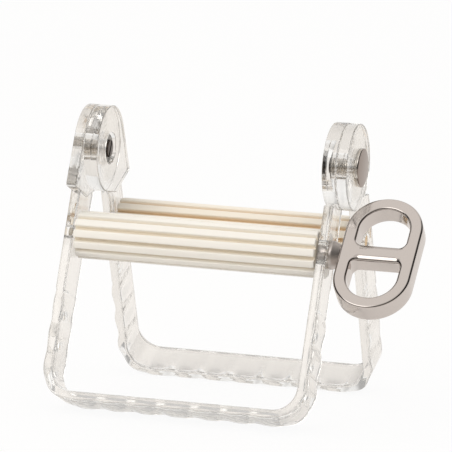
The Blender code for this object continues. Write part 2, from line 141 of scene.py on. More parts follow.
# %% Corners to arcs
def circle(angle):
    """Points on a circle of radius 1: the cosine and the sine of each angle."""
    return np.stack([np.cos(angle), np.sin(angle)], -1)


def ease(t):
    """A smooth step from 0 to 1: t squared times (3 - 2 t)."""
    return t ** 2 * (3 - 2 * t)


def rounded(corners, radii, steps=8, closed=True):
    """Swap each corner for an arc that touches both of its sides.

    The arc's centre lies on the corner's bisector, at radius / sin(half angle); the points
    between its two ends are a spherical blend of the two spokes.
    """
    corners = np.asarray(corners, float)
    radii = np.broadcast_to(radii, len(corners))
    pieces = []
    for k, (corner, radius) in enumerate(zip(corners, radii)):
        at_end = not closed and k in (0, len(corners) - 1)
        if at_end or radius <= 0:
            pieces.append(corner[None])
            continue
        back = corners[k - 1] - corner
        ahead = corners[(k + 1) % len(corners)] - corner
        back, ahead = back / np.linalg.norm(back), ahead / np.linalg.norm(ahead)
        half = math.acos(np.clip(back @ ahead, -1, 1)) / 2
        centre = corner + (back + ahead) / np.linalg.norm(back + ahead) * radius / math.sin(half)
        first = corner + back * radius / math.tan(half) - centre
        last = corner + ahead * radius / math.tan(half) - centre
        sweep = math.pi - 2 * half
        t = np.linspace(0, 1, steps + 1)[:, None]
        spokes = np.sin((1 - t) * sweep) * first + np.sin(t * sweep) * last
        pieces.append(centre + spokes / math.sin(sweep))
    return np.vstack(pieces)


# %% [markdown]
# ## The U-shaped bar of a frame
#
# On the real frame one flat bar runs down a leg, along the floor and up the other leg. Its inside
# is plain; its outside is a row of shallow pillows that give a wet hand some grip. It could be
# cut from a block, but a section carried along a path keeps the bends perfectly even. The path is
# the plain outside line of the U, and the pillows only push the section's outer side inwards.

# %% The path round the U
CORNER_RADIUS = 11.0 * MM
PILLOWS = 15
PILLOW_START = 51.5 * MM
PILLOW_LEAD = 1.2 * MM
PILLOW_STEPS, LEAD_STEPS, LEG_STEPS = 20, 6, 8
CREASE_OUTER, CREASE_GAIN = 0.3 * MM, 0.4 * MM
BAR_EDGE = 0.8 * MM
LEG_TOP = 8.0 * MM
LEG_RECESS, RECESS_GAIN = 0.55 * MM, 1.6
NOTCH_Y, SHOULDER_DROP = 4.0 * MM, 16.2 * MM


def u_path(samples):
    """Points, outward directions and pillow sinks from the left leg's first pillow to the right's.

    The U is a straight leg, a quarter circle, a straight floor, a quarter circle and a leg again.
    """
    leg = LEG_LENGTH - CORNER_RADIUS - PILLOW_START
    bend = math.pi / 2 * CORNER_RADIUS
    floor = 2 * (HALF_WIDTH - CORNER_RADIUS)
    marks = np.cumsum([0, leg, bend, floor, bend, leg])
    d = np.linspace(0, marks[-1], samples)
    x_bend, z_bend = HALF_WIDTH - CORNER_RADIUS, -LEG_LENGTH + CORNER_RADIUS
    normal = circle(np.interp(d, marks, np.array([1, 1, 1.5, 1.5, 2, 2]) * math.pi))
    base_x = np.interp(d, marks, [-x_bend, -x_bend, -x_bend, x_bend, x_bend, x_bend])
    base_z = np.interp(d, marks, [-PILLOW_START, z_bend, z_bend, z_bend, z_bend, -PILLOW_START])
    point = np.stack([base_x, base_z], -1) + CORNER_RADIUS * normal
    return point, normal, pillow_share(d, marks[-1])


def pillow_share(d, total):
    """0 on a crest and 1 in a crease: cos(pi * u ** 0.8) squared, with u counted in pillows.

    The power makes a pillow rise fast and fall slowly on the way down a leg. Both halves of the U
    count from their own end.
    """
    turns = np.minimum(d, total - d) / (total / PILLOWS)
    return np.cos(math.pi * (turns % 1) ** 0.8) ** 2


def sinks(y):
    """How deep the creases and the plain upper leg stand back at y: most on the side facing in."""
    inward = (BAR_OUTER_Y - y) / (BAR_OUTER_Y - BAR_INNER_Y)
    return CREASE_OUTER + CREASE_GAIN * inward, LEG_RECESS * np.clip(RECESS_GAIN * inward, 0, 1)


# %% The bar
def bar(name, notched_side, which):
    """The rounded section (depth by thickness) swept down one leg, along the U and up the other.

    A leg's top slopes down outwards by a straight line in y on the side with the open notch.
    """
    thick = BAR_THICKNESS
    section = rounded([(0, BAR_INNER_Y), (0, 1.0 * MM), (0, BAR_OUTER_Y), (-thick, BAR_OUTER_Y),
                       (-thick, BAR_INNER_Y)], np.array([1, 0, 1, 1, 1]) * BAR_EDGE)
    x, y = section.T
    outer = x > -thick / 3
    crease, recess = sinks(y)
    point, normal, share = u_path(PILLOWS * PILLOW_STEPS + 1)
    sunk = x - share[:, None] * crease * outer
    middle = np.stack([point[:, :1] + normal[:, :1] * sunk, np.broadcast_to(y, sunk.shape),
                       point[:, 1:] + normal[:, 1:] * sunk], -1)
    notch_z = -math.sqrt(EAR_RADIUS ** 2 - NOTCH_Y ** 2)
    slope = (SHOULDER_DROP + notch_z) / (BAR_OUTER_Y - NOTCH_Y)
    t = np.linspace(0, 1, LEG_STEPS + 1)[:-1, None]
    u = np.linspace(0, 1, LEAD_STEPS + 1)[:-1, None]
    lead = np.broadcast_to(PILLOW_LEAD * (1 - u) - PILLOW_START, (LEAD_STEPS, len(y)))
    back = (recess + (crease - recess) * np.concatenate([0 * t, ease(u)])) * outer
    legs = []
    for side in (-1, 1):
        top = notch_z - slope * (y - NOTCH_Y) if side == notched_side else np.full(len(y), -LEG_TOP)
        z = np.concatenate([top + (PILLOW_LEAD - PILLOW_START - top) * t, lead])
        legs.append(np.stack([side * (HALF_WIDTH + x - back), np.broadcast_to(y, z.shape), z], -1))
    points = np.concatenate([legs[0], middle, legs[1][::-1]])
    return surface(name, stand(points, which), caps=True)


# %% [markdown]
# ## The ears
#
# Each leg ends in a flat ear round the hinge pin. On one side of the object the ears are plain
# discs; on the other they run down to a square foot, which is the stop for the open frames. Both
# outlines are seen from the hinge like a clock face, so one closed loop of points fits them, and
# the loop is carried from the pin's hole out over one face, round the rim and back over the
# other face.

# %% Ear outlines
EAR_FOOT = 17.5 * MM
SHIELD_START, SHIELD_CHAMFER = 0.02, math.radians(33.0)
SHIELD_FLARE = 0.8 * MM
FOOT_FILLETS = (0.8 * MM, 1.2 * MM)


def ear_outline(shielded, count=144):
    """A closed loop of (y, z) points: a circle, or a circle that runs down to a square foot."""
    if not shielded:
        return EAR_RADIUS * circle(np.linspace(0, 2 * math.pi, count, endpoint=False))
    disc = EAR_RADIUS * circle(np.linspace(SHIELD_START, 1.5 * math.pi - SHIELD_CHAMFER, count))
    foot_y = (EAR_FOOT * math.cos(SHIELD_CHAMFER) - EAR_RADIUS) / math.sin(SHIELD_CHAMFER)
    far_y = EAR_RADIUS + SHIELD_FLARE
    foot = rounded([disc[-1], (foot_y, -EAR_FOOT), (far_y, -EAR_FOOT), disc[0]],
                   [0, *FOOT_FILLETS, 0], closed=False)
    return np.vstack([disc, foot[1:-1]])


def inset(loop, distance):
    """Move a loop of points inwards along its own normals, the directions across its neighbours."""
    along = np.roll(loop, -1, 0) - np.roll(loop, 1, 0)
    along /= np.linalg.norm(along, axis=1, keepdims=True)
    return loop + distance * np.stack([-along[:, 1], along[:, 0]], -1)


# %% Ear surface
EAR_EDGE = 0.35 * MM
EAR_PROUD = 0.06 * MM
EAR_BOSS = 1.3 * MM
POST_BORE, POST_BORE_EDGE = 2.7 * MM, 0.2 * MM
COUNTERBORE, COUNTERBORE_EDGE = 5.3 * MM, 0.15 * MM
COUNTERBORE_DEPTH = 1.6 * MM


def ear(name, shielded, inner, which):
    """A ring surface: each row is the outline or a circle at one x, and the rows close up.

    The rim's two edges are quarter circles: cosine into the face, sine along x.
    """
    loop = ear_outline(shielded)
    spokes = circle(np.arctan2(loop[:, 1], loop[:, 0]))
    side = -1 if inner else 1
    outside = HALF_WIDTH + EAR_PROUD
    inside = HALF_WIDTH - BAR_THICKNESS - (EAR_BOSS if inner else EAR_PROUD)
    arc = [(inset(loop, EAR_EDGE * (1 - math.cos(a))), EAR_EDGE * (1 - math.sin(a)))
           for a in np.linspace(0, math.pi / 2, 9)]
    rim = [(yz, outside - depth) for yz, depth in arc[::-1]]
    back = [(yz, inside + depth) for yz, depth in arc]
    hole = [(POST_BORE, inside + POST_BORE_EDGE), (POST_BORE + POST_BORE_EDGE, inside)]
    if inner:
        floor = inside + COUNTERBORE_DEPTH
        hole = [(POST_BORE, floor), (COUNTERBORE, floor), (COUNTERBORE, inside + COUNTERBORE_EDGE),
                (COUNTERBORE + COUNTERBORE_EDGE, inside)]
    front = [(POST_BORE + POST_BORE_EDGE, outside), (POST_BORE, outside - POST_BORE_EDGE)]
    rows = rim + back + [(radius * spokes, x) for radius, x in hole[::-1]]
    rows += [(radius * spokes, x) for radius, x in front[::-1]]
    grid = np.stack([np.concatenate([np.full((len(loop), 1), side * x), yz], 1) for yz, x in rows])
    return surface(name, stand(grid, which), ring_rows=True)


# %% [markdown]
# ## Turned pieces
#
# The hinge posts, the screws and the plugs are round, so each is a profile of distances along X
# and radii, spun about its own axis. The same function makes the drills that open the holes for
# the stub axles in the legs.

# %% A profile spun about X
def turned(name, profile, centre, sides=64, ring=False):
    """Points at (x, r cos a, r sin a) for every profile point and every angle a."""
    profile = np.asarray(profile, float)
    a = np.linspace(0, 2 * math.pi, sides, endpoint=False)
    grid = np.stack([np.broadcast_to(profile[:, :1], (len(profile), sides)),
                     profile[:, 1:] * np.cos(a), profile[:, 1:] * np.sin(a)], -1)
    return surface(name, grid + np.asarray(centre), ring_rows=ring, caps=not ring)


# %% [markdown]
# ## Joining and cutting
#
# Where two clear pieces only overlap, light is bent at hidden walls inside them, so the bar and
# its ears are joined into one skin first, and the holes are cut from the whole. The floor trims
# the narrow flat that the frame stands on.

# %% Boolean in one call
def combine(piece, tools, operation):
    """Join the tools to the piece, or cut them from it, and bake the result into its mesh."""
    for tool in tools:
        step = piece.modifiers.new("step", "BOOLEAN")
        step.operation, step.solver, step.object = operation, "EXACT", tool
    bpy.context.view_layer.update()
    graph = bpy.context.evaluated_depsgraph_get()
    result = bpy.data.meshes.new_from_object(piece.evaluated_get(graph))
    piece.modifiers.clear()
    piece.data = result
    for tool in tools:
        bpy.data.objects.remove(tool)
    return piece


def block(name, low, high):
    """A plain box between two corners, to be joined to a piece or cut from it."""
    work = bmesh.new()
    size, middle = np.array(high) - np.array(low), (np.array(high) + np.array(low)) / 2
    place = Matrix.Translation(middle) @ Matrix.Diagonal((*size, 1))
    bmesh.ops.create_cube(work, size=1.0, matrix=place)
    mesh = bpy.data.meshes.new(name)
    work.to_mesh(mesh)
    work.free()
    return new_object(name, mesh)


# %% The two frames
STUB_BORE, JOURNAL_BORE = 2.4 * MM, 4.2 * MM


def clear_frame(which, notched_side, bores):
    """A bar joined to its two ears, with the holes for the roller's stub axles."""
    name = f"clear_{which}_frame"
    body = bar(name, notched_side, which)
    ears = [ear("outer_ear", notched_side < 0, False, which),
            ear("inner_ear", notched_side > 0, True, which)]
    combine(body, ears, "UNION")
    drills = []
    for side, radius in zip((-1, 1), bores):
        world_side = side if which == "rear" else -side
        ends = world_side * (HALF_WIDTH + BAR_THICKNESS * np.array([-3, 1]))
        drills.append(turned("drill", [(end, radius) for end in np.sort(ends)], AXIS[which]))
    drills.append(block("floor", (-0.2, -0.2, -0.02), (0.2, 0.2, 0.0)))
    combine(body, drills, "DIFFERENCE")
    print(name, "has", len(body.data.polygons), "faces")
    return smooth(body)


rear_frame = clear_frame("rear", 1, (STUB_BORE, STUB_BORE))
front_frame = clear_frame("front", -1, (JOURNAL_BORE, STUB_BORE))

# %% [markdown]
# ## The splined rollers
#
# A roller is a hollow plastic cylinder with twelve broad teeth along it. The section is drawn as
# corners: each tooth has a crest on the outer circle and almost straight walls down to a narrow
# groove. It is carried along X, slightly smaller at both ends, and comes back through the bore, so
# the whole roller is one closed ring surface.

# %% Roller section and sweep
ROLLER_RADIUS = 7.9 * MM
TEETH = 12
GROOVE_DEPTH = 2.1 * MM
TOOTH_SHARE, WALL_SHARE = 0.62, 0.05
CREST_FILLET, GROOVE_FILLET = 0.35 * MM, 0.3 * MM
ROLLER_LENGTH, ROLLER_EDGE = 82.3 * MM, 0.3 * MM
ROLLER_BORE = 4.3 * MM
FRONT_TURN = math.radians(3.5)


def roller_section():
    """Corners of every tooth in turn, rounded: wall top, crest, wall top, groove floor."""
    pitch = 2 * math.pi / TEETH
    tooth = TOOTH_SHARE * pitch
    foot = tooth / 2 + WALL_SHARE * pitch
    angle = np.concatenate([np.linspace(-tooth / 2, tooth / 2, 5), np.linspace(foot, pitch - foot, 3)])
    radius = ROLLER_RADIUS - GROOVE_DEPTH * np.repeat([0, 1], [5, 3])
    centre = (np.arange(TEETH) + 0.5) * pitch
    corners = np.tile(radius, TEETH)[:, None] * circle((centre[:, None] + angle).ravel())
    fillets = [CREST_FILLET, 0, 0, 0, CREST_FILLET, GROOVE_FILLET, 0, GROOVE_FILLET]
    return rounded(corners, np.tile(fillets, TEETH), steps=4)


def roller(name, which, turn):
    """Rows of the section at x, drawn in at both ends, then rows of the bore on the way back."""
    section = roller_section() @ rotation_x(turn)[1:, 1:].T
    bore = ROLLER_BORE * circle(np.arctan2(section[:, 1], section[:, 0]))
    half = ROLLER_LENGTH / 2
    t = np.linspace(math.pi / 2, 0, 5)
    shrink = 1 - ROLLER_EDGE * (1 - np.cos(t)) / ROLLER_RADIUS
    reach = half - ROLLER_EDGE * (1 - np.sin(t))
    rows = [(section * s, -x) for s, x in zip(shrink, reach)]
    rows += [(yz, -x) for yz, x in reversed(rows)]
    rows += [(bore, half), (bore, -half)]
    grid = np.stack([np.concatenate([np.full((len(section), 1), x), yz], 1) for yz, x in rows])
    return smooth(surface(name, grid + AXIS[which], ring_rows=True), 25.0)


front_roller = roller("cream_front_roller", "front", FRONT_TURN)
rear_roller = roller("cream_rear_roller", "rear", LEAN)
print("faces on a roller:", len(front_roller.data.polygons))

# %% [markdown]
# ## The plugs in the rollers' ends
#
# Each roller end is closed by a moulded plug whose thin stub turns in the leg. The driven plug
# has a square socket instead of a stub; the key's spindle fills it.

# %% Plugs
PLUG_LENGTH, PLUG_GAP = 11.0 * MM, 0.15 * MM
COLLAR, COLLAR_START, COLLAR_END = 5.2 * MM, 0.15 * MM, 0.3 * MM
STUB, STUB_SHORT = 2.2 * MM, 0.75 * MM
CAP_HOLE = 0.3 * MM


def plug(name, which, side):
    """A turned profile: body, collar and stub, with small rounded edges."""
    end, tip = ROLLER_LENGTH / 2, HALF_WIDTH - STUB_SHORT
    body = ROLLER_BORE - PLUG_GAP
    corners = [(end - PLUG_LENGTH, CAP_HOLE), (end - PLUG_LENGTH, body), (end + COLLAR_START, body),
               (end + COLLAR_START, COLLAR), (end + COLLAR_END, COLLAR), (end + COLLAR_END, STUB),
               (tip, STUB), (tip, CAP_HOLE)]
    radii = np.array([0, 0.3, 0, 0.05, 0.05, 0.05, 0.3, 0]) * MM
    profile = rounded(corners, radii, steps=4, closed=False)
    profile[:, 0] *= side
    return smooth(turned(name, profile, AXIS[which], 48), 30.0)


plugs = {
    "front_roller_plug_left": plug("cream_front_plug_left", "front", -1),
    "rear_roller_plug_left": plug("cream_rear_plug_left", "rear", -1),
    "rear_roller_plug_right": plug("cream_rear_plug_right", "rear", 1),
}
print("plugs:", sorted(plugs))

# %% [markdown]
# ## The turning key
#
# The key is a flat chrome ring, long on one axis, with a bar across its middle. On the casting
# ring and bar are one face, and every edge has the same small radius, so it is made as one skin:
# a strip round the outside, a strip round each opening, and flat sheets between them. Only the
# bar's face is slightly crowned, which is what gives it the long soft highlight.

# %% Outlines of the ring and its openings
KEY_WIDTH, KEY_LENGTH, KEY_THICKNESS = 25.5 * MM, 44.2 * MM, 7.2 * MM
KEY_BAND, KEY_BAR_WIDTH = 4.3 * MM, 6.2 * MM
KEY_EDGE, KEY_FILLET, KEY_CROWN = 0.8 * MM, 1.9 * MM, 0.7 * MM
CROWN_FADE, CROWN_REACH = 2.5 * MM, 3.0 * MM
OPENING_MIDDLE = 5.4 * MM
KEY_LEAN = math.radians(45.8)
KEY_LEFT = HINGE[0] + 46.625 * MM
KEY_LINE = AXIS["front"] * np.array([0, 1, 1])
KEY_CENTRE = KEY_LINE + np.array([KEY_LEFT + KEY_WIDTH / 2, 0, 0])
KEY_RISE = (KEY_LENGTH - KEY_WIDTH) / 2
OPENING = KEY_WIDTH / 2 - KEY_BAND
SIDE_STEPS, ARC_STEPS, MIDDLE_STEPS = 12, 96, 60


def half_outline(reach):
    """The ring's upper outline at a reach: up one side, half a circle, down the other side."""
    up = np.linspace(0, KEY_RISE, SIDE_STEPS + 1)[:-1]
    side = np.stack([np.full(SIDE_STEPS, reach), up], -1)
    arc = reach * circle(np.linspace(0, math.pi, ARC_STEPS + 1)) + np.array([0, KEY_RISE])
    return np.vstack([side, arc, side[::-1] * np.array([-1, 1])])


def opening_at(directions, middle):
    """Where rays from the opening's middle meet its outline, a half circle on a soft-cornered box.

    A ray meets a stretch of the outline at cross(start, along) / cross(ray, along).
    """
    arc = OPENING * circle(np.linspace(0, math.pi, ARC_STEPS + 1)) + np.array([0, KEY_RISE])
    low = KEY_BAR_WIDTH / 2
    corners = np.vstack([[(-OPENING, low), (OPENING, low)], arc])
    line = rounded(corners, [KEY_FILLET, KEY_FILLET] + [0] * len(arc), steps=24) - middle
    angle = np.unwrap(np.arctan2(line[:, 1], line[:, 0]))
    line, angle = np.vstack([line, line[:1]]), np.append(angle, angle[0] + 2 * math.pi)
    heading = np.arctan2(directions[:, 1], directions[:, 0])
    wanted = angle[0] + (heading - angle[0]) % (2 * math.pi)
    k = np.clip(np.searchsorted(angle, wanted, side="right") - 1, 0, len(angle) - 2)
    ray, start, along = circle(wanted), line[k], line[k + 1] - line[k]
    reach = start[:, 0] * along[:, 1] - start[:, 1] * along[:, 0]
    reach /= ray[:, 0] * along[:, 1] - ray[:, 1] * along[:, 0]
    return middle + reach[:, None] * ray


print("key opening in mm:", round(2 * OPENING / MM, 1), "wide")


# %% The key's skin
def edge_rows():
    """(Distance into the face, y): down one edge's quarter circle, along the wall and out again."""
    t = np.linspace(0, math.pi / 2, 9)
    half = KEY_THICKNESS / 2
    depth = KEY_EDGE * (1 - np.sin(t))
    y = half - KEY_EDGE * (1 - np.cos(t))
    return list(zip(depth, -y)) + list(zip(depth[::-1], y[::-1]))


def crowned(xz, y):
    """The crossbar thins towards its edges by a parabola in z, faded out where it meets the ring."""
    x, z = xz[..., 0], xz[..., 1]
    fade = np.clip((OPENING - np.abs(x)) / CROWN_FADE, 0, 1)
    fade = ease(fade * np.clip(3 - np.abs(z) / CROWN_REACH, 0, 1))
    sink = KEY_CROWN * fade * np.clip(np.abs(z) / (KEY_BAR_WIDTH / 2), 0, 1) ** 2
    return np.stack([x, y * (1 - sink / (KEY_THICKNESS / 2)), z], -1)


def lean_key(points):
    """From the key's own axes (x across, y through, z along) to the world."""
    return points @ rotation_x(-KEY_LEAN).T + KEY_CENTRE


def key_grids():
    """A strip round the outside, then for each opening a strip and one sheet on either face.

    A sheet's first and last steps are narrow, to keep its shading flat up to the edges.
    """
    half = KEY_THICKNESS / 2
    upper = half_outline(KEY_WIDTH / 2)
    outline = np.vstack([upper[:-1], -upper[:-1]])
    grids = [np.stack([crowned(inset(outline, d), y) for d, y in edge_rows()])]
    face_edge = inset(outline, KEY_EDGE)[:len(upper)]
    x = np.linspace(face_edge[-1, 0], face_edge[0, 0], MIDDLE_STEPS + 1)[1:-1]
    loop = np.vstack([face_edge, np.stack([x, 0 * x], -1)])
    middle = np.array([0, KEY_BAR_WIDTH / 2 + OPENING_MIDDLE])
    wall = opening_at(loop - middle, middle)
    t = np.concatenate([[0], np.linspace(0.03, 0.97, 12), [1]])[:, None, None]
    for turn in (1, -1):
        grids.append(np.stack([crowned(turn * inset(wall, -d), y) for d, y in edge_rows()]))
        sheet = turn * ((1 - t) * inset(wall, -KEY_EDGE) + t * loop)
        grids += [crowned(sheet, y) for y in (-half, half)]
    return grids


# %% The strips and sheets joined
def key_skin(name):
    """Strips and sheets share their border points, so that merging doubles closes the skin."""
    work = bmesh.new()
    for grid in key_grids():
        part = surface("strip", lean_key(grid))
        work.from_mesh(part.data)
        bpy.data.objects.remove(part)
    bmesh.ops.remove_doubles(work, verts=work.verts, dist=1e-6)
    bmesh.ops.recalc_face_normals(work, faces=work.faces)
    mesh = bpy.data.meshes.new(name)
    work.to_mesh(mesh)
    print(name, "open edges:", sum(not edge.is_manifold for edge in work.edges))
    work.free()
    return new_object(name, mesh)


# %% Hub, journal and spindle
JOURNAL, HUB, CONE_TIP = 4.0 * MM, 4.7 * MM, 2.9 * MM
SPINDLE_HALF, SPINDLE_LENGTH = 2.3 * MM, 9.0 * MM


def key():
    """The skin joined to the turned hub and journal and to the square spindle."""
    piece = key_skin("chrome_key")
    leg = HALF_WIDTH - LEG_RECESS - FRAME_SHIFT + HINGE[0]
    end = AXIS["front"][0] + ROLLER_LENGTH / 2
    start, flange, rim = end + 0.15 * MM, leg + 0.3 * MM, leg + 1.6 * MM
    tip, inside = KEY_LEFT + 1.0 * MM, KEY_LEFT + 1.6 * MM
    corners = [(start, 1.0 * MM), (start, JOURNAL), (flange, JOURNAL), (flange, HUB), (rim, HUB),
               (tip, CONE_TIP), (inside, CONE_TIP), (inside, 1.0 * MM)]
    radii = np.array([0, 0.3, 0, 0.3, 0.8, 0.2, 0, 0]) * MM
    hub = turned("hub", rounded(corners, radii, steps=6, closed=False), KEY_LINE, 96)
    half = SPINDLE_HALF
    spindle = block("spindle", (end - SPINDLE_LENGTH, -half, -half), (end + 1.0 * MM, half, half))
    spindle.data.transform(Matrix.Translation(KEY_LINE) @ Matrix.Rotation(-KEY_LEAN, 4, "X"))
    return smooth(combine(piece, [hub, spindle], "UNION"), 18.0)


turning_key = key()
key_box = np.array([turning_key.bound_box[0], turning_key.bound_box[6]])
print("key box in mm:", np.round(key_box / MM, 1).tolist())

# %% [markdown]
# ## Hinge posts and screws
#
# A binding post goes through both ears: outside it shows a broad flat head, and inside a slotted
# screw closes it. The head's thin rounded rim is what separates it from the clear plastic.

# %% Posts
POST_SEAT, SCREW_FLOOR = 47.085 * MM, 40.075 * MM
BARREL, POST_HOLE = 2.5 * MM, 1.45 * MM
HEAD, HEAD_THICKNESS = 6.5 * MM, 1.5 * MM
THREAD_PITCH, THREAD_DEPTH, THREAD_MARGIN = 0.6 * MM, 0.18 * MM, 0.4 * MM
CENTRE_HOLE = 0.2 * MM


def mirrored(profile, side):
    """The profile for the right side, or its mirror image for the left one."""
    return profile * np.array([side, 1])


def hinge_post(name, side):
    """A turned head and a barrel with a fine thread, bored for the screw."""
    face, bore_end = POST_SEAT + HEAD_THICKNESS, SCREW_FLOOR + 5.15 * MM
    barrel = np.arange(SCREW_FLOOR + THREAD_MARGIN, POST_SEAT - THREAD_MARGIN, THREAD_PITCH / 2)
    thread = [(x, BARREL - (k % 2) * THREAD_DEPTH) for k, x in enumerate(barrel)]
    corners = [(bore_end, CENTRE_HOLE), (bore_end, POST_HOLE), (SCREW_FLOOR, POST_HOLE),
               (SCREW_FLOOR, BARREL), *thread, (POST_SEAT, BARREL), (POST_SEAT, HEAD), (face, HEAD),
               (face, CENTRE_HOLE)]
    radii = np.array([0, 0, 0.1, 0.1] + [0.03] * len(thread) + [0, 0.25, 0.35, 0]) * MM
    profile = mirrored(rounded(corners, radii, steps=5, closed=False), side)
    return smooth(turned(name, profile, HINGE, 96), 25.0)


# %% Screws and washers
SCREW_HEAD, SCREW_SHANK = 3.0 * MM, 1.3 * MM
SLOT_DEPTH, SLOT_REACH, SLOT_HALF_WIDTH = 0.45 * MM, 4.0 * MM, 0.5 * MM
SLOT_ANGLE = math.radians(62.0)
WASHER_BORE, WASHER_RADIUS = 1.5 * MM, 4.8 * MM


def hinge_screw(name, side):
    """A turned screw with a slightly domed head and a sawn slot."""
    face, seat, tip = SCREW_FLOOR - 1.45 * MM, SCREW_FLOOR - 0.7 * MM, SCREW_FLOOR + 5.0 * MM
    corners = [(face, CENTRE_HOLE), (face + 0.05 * MM, SCREW_HEAD), (seat, SCREW_HEAD),
               (seat, SCREW_SHANK), (tip, SCREW_SHANK), (tip, CENTRE_HOLE)]
    radii = np.array([0, 0.25, 0.05, 0, 0.2, 0]) * MM
    profile = mirrored(rounded(corners, radii, steps=5, closed=False), side)
    piece = turned(name, profile, HINGE, 72)
    reach = np.array([SLOT_DEPTH, SLOT_REACH, SLOT_HALF_WIDTH])
    middle = np.array([side * face, 0, 0])
    slot = block("slot", middle - reach, middle + reach)
    slot.data.transform(Matrix.Translation(HINGE) @ Matrix.Rotation(SLOT_ANGLE, 4, "X"))
    return smooth(combine(piece, [slot], "DIFFERENCE"), 25.0)


def hinge_washer(name, side):
    """A thin turned ring."""
    low, high = SCREW_FLOOR - 0.55 * MM, SCREW_FLOOR - 0.15 * MM
    corners = [(low, WASHER_BORE), (low, WASHER_RADIUS), (high, WASHER_RADIUS), (high, WASHER_BORE)]
    profile = mirrored(rounded(corners, 0.1 * MM, steps=3), side)
    return smooth(turned(name, profile, HINGE, 64, ring=True), 40.0)


hardware = {}
for side, label in ((-1, "left"), (1, "right")):
    hardware[f"hinge_post_{label}"] = hinge_post(f"chrome_post_{label}", side)
    hardware[f"hinge_screw_{label}"] = hinge_screw(f"slotted_screw_{label}", side)
    hardware[f"hinge_washer_{label}"] = hinge_washer(f"steel_washer_{label}", side)
print("hinge pieces:", sorted(hardware))

# %% [markdown]
# ## Materials
#
# Colours are written as sRGB hex values, as in a paint maker's chart, and turned to linear light by
# one function. One more function adds a node, sets its values and draws its links, so that a finish
# reads as a short list.

# %% Colour and node helpers
def linear(hex_colour):
    """sRGB to linear: below 0.04045 divide by 12.92, above it raise to the power 2.4."""
    value = np.array([int(hex_colour[i:i + 2], 16) for i in (0, 2, 4)]) / 255
    curve = np.where(value <= 0.04045, value / 12.92, ((value + 0.055) / 1.055) ** 2.4)
    return (*curve.tolist(), 1.0)


def feed(made, inputs):
    """Give a node its inputs: plain values, outputs of other nodes, or whole nodes.

    A whole node stands for the first of its outputs that is in use.
    """
    for key, value in inputs.items():
        if isinstance(value, bpy.types.Node):
            value = next(output for output in value.outputs if output.enabled)
        if isinstance(value, bpy.types.NodeSocket):
            made.id_data.links.new(value, made.inputs[key])
        else:
            made.inputs[key].default_value = value


def node(tree, kind, inputs=None, **settings):
    """Add a node to a tree, with its own settings and its inputs."""
    made = tree.nodes.new("ShaderNode" + kind)
    for key, value in settings.items():
        setattr(made, key, value)
    feed(made, inputs or {})
    return made


def finish(name, **sockets):
    """A new material and its Principled shader, with the given sockets set."""
    made = bpy.data.materials.new(name)
    made.use_nodes = True
    shader = made.node_tree.nodes["Principled BSDF"]
    feed(shader, {key.replace("_", " "): value for key, value in sockets.items()})
    return made, made.node_tree, shader


def off_axis(tree, axis):
    """A point's distance from the line along X through the axis: the root of y * y + z * z."""
    place = node(tree, "TexCoord").outputs["Object"]
    away = node(tree, "VectorMath", {0: place, 1: axis}, operation="SUBTRACT")
    spoke = node(tree, "VectorMath", {0: away, 1: (0, 1, 1)}, operation="MULTIPLY")
    return node(tree, "VectorMath", {0: spoke}, operation="LENGTH")


# %% [markdown]
# ### Clear polystyrene, injection-moulded
#
# Polystyrene bends light strongly (IOR 1.59) and comes out of a polished mould like glass. The
# plastic also swallows a little light on the way, cool light more than warm: that hardly shows
# across a 3 mm wall and greys the long paths inside a bar.

# %% Clear plastic
clear_plastic, tree, shader = finish("clear polystyrene", Base_Color=linear("FCFBF9"),
                                     Roughness=0.015, IOR=1.59, Transmission_Weight=1.0)
swallowed = {"Color": linear("B5B1AB"), "Density": 7.0}
feed(tree.nodes["Material Output"], {"Volume": node(tree, "VolumeAbsorption", swallowed)})
print("clear plastic IOR:", round(shader.inputs["IOR"].default_value, 2))

# %% [markdown]
# The melt leaves flow lines in such a wall, about 1.3 mm apart and 25 mm long. They run the way it
# ran: along the floor bar, down the leaning legs and round the rims of the ears.

# %% Flow lines
FLOW_WIDTH, FLOW_LENGTH = 1.3 * MM, 25 * MM


def flow_lines(tree, source, grain):
    """Noise squeezed and stretched until its grains measure the three given lengths."""
    scale = tuple(1 / length for length in grain)
    stretched = node(tree, "VectorMath", {0: source, 1: scale}, operation="MULTIPLY")
    return node(tree, "TexNoise", {"Vector": stretched, "Scale": 1.0, "Detail": 0.0})


place = node(tree, "TexCoord").outputs["Object"]
radius = off_axis(tree, HINGE)
height = node(tree, "SeparateXYZ", {0: place}).outputs["Z"]
from_pin = node(tree, "VectorMath", {0: place, 1: HINGE}, operation="SUBTRACT")
one_side = node(tree, "VectorMath", {0: from_pin}, operation="ABSOLUTE")
leaned = node(tree, "Mapping", {"Vector": one_side, "Rotation": (LEAN, 0, 0)})
along_floor = flow_lines(tree, one_side, (FLOW_LENGTH, FLOW_WIDTH, FLOW_WIDTH))
down_leg = flow_lines(tree, leaned, (FLOW_WIDTH, FLOW_WIDTH, FLOW_LENGTH))
round_ear = flow_lines(tree, one_side, (FLOW_WIDTH, FLOW_LENGTH, FLOW_LENGTH))
in_leg = node(tree, "MapRange", {"Value": height, "From Min": 8 * MM, "From Max": 16 * MM})
in_ear = node(tree, "MapRange", {"Value": radius, "From Min": 15.0 * MM, "From Max": 14.6 * MM})
flow = node(tree, "Mix", {"Factor": in_leg, "A": along_floor, "B": down_leg})
flow = node(tree, "Mix", {"Factor": in_ear, "A": flow, "B": round_ear})

# %% [markdown]
# Slow waves about 9 mm long come from the cooling plastic and break up what is seen through it.
# Round the hinge the mould was turned on a lathe, which leaves faint rings about 1.4 mm apart.

# %% Waves, flow lines and lathe rings, one on top of the other
WAVE_LENGTH, RING_PITCH = 9 * MM, 1.4 * MM

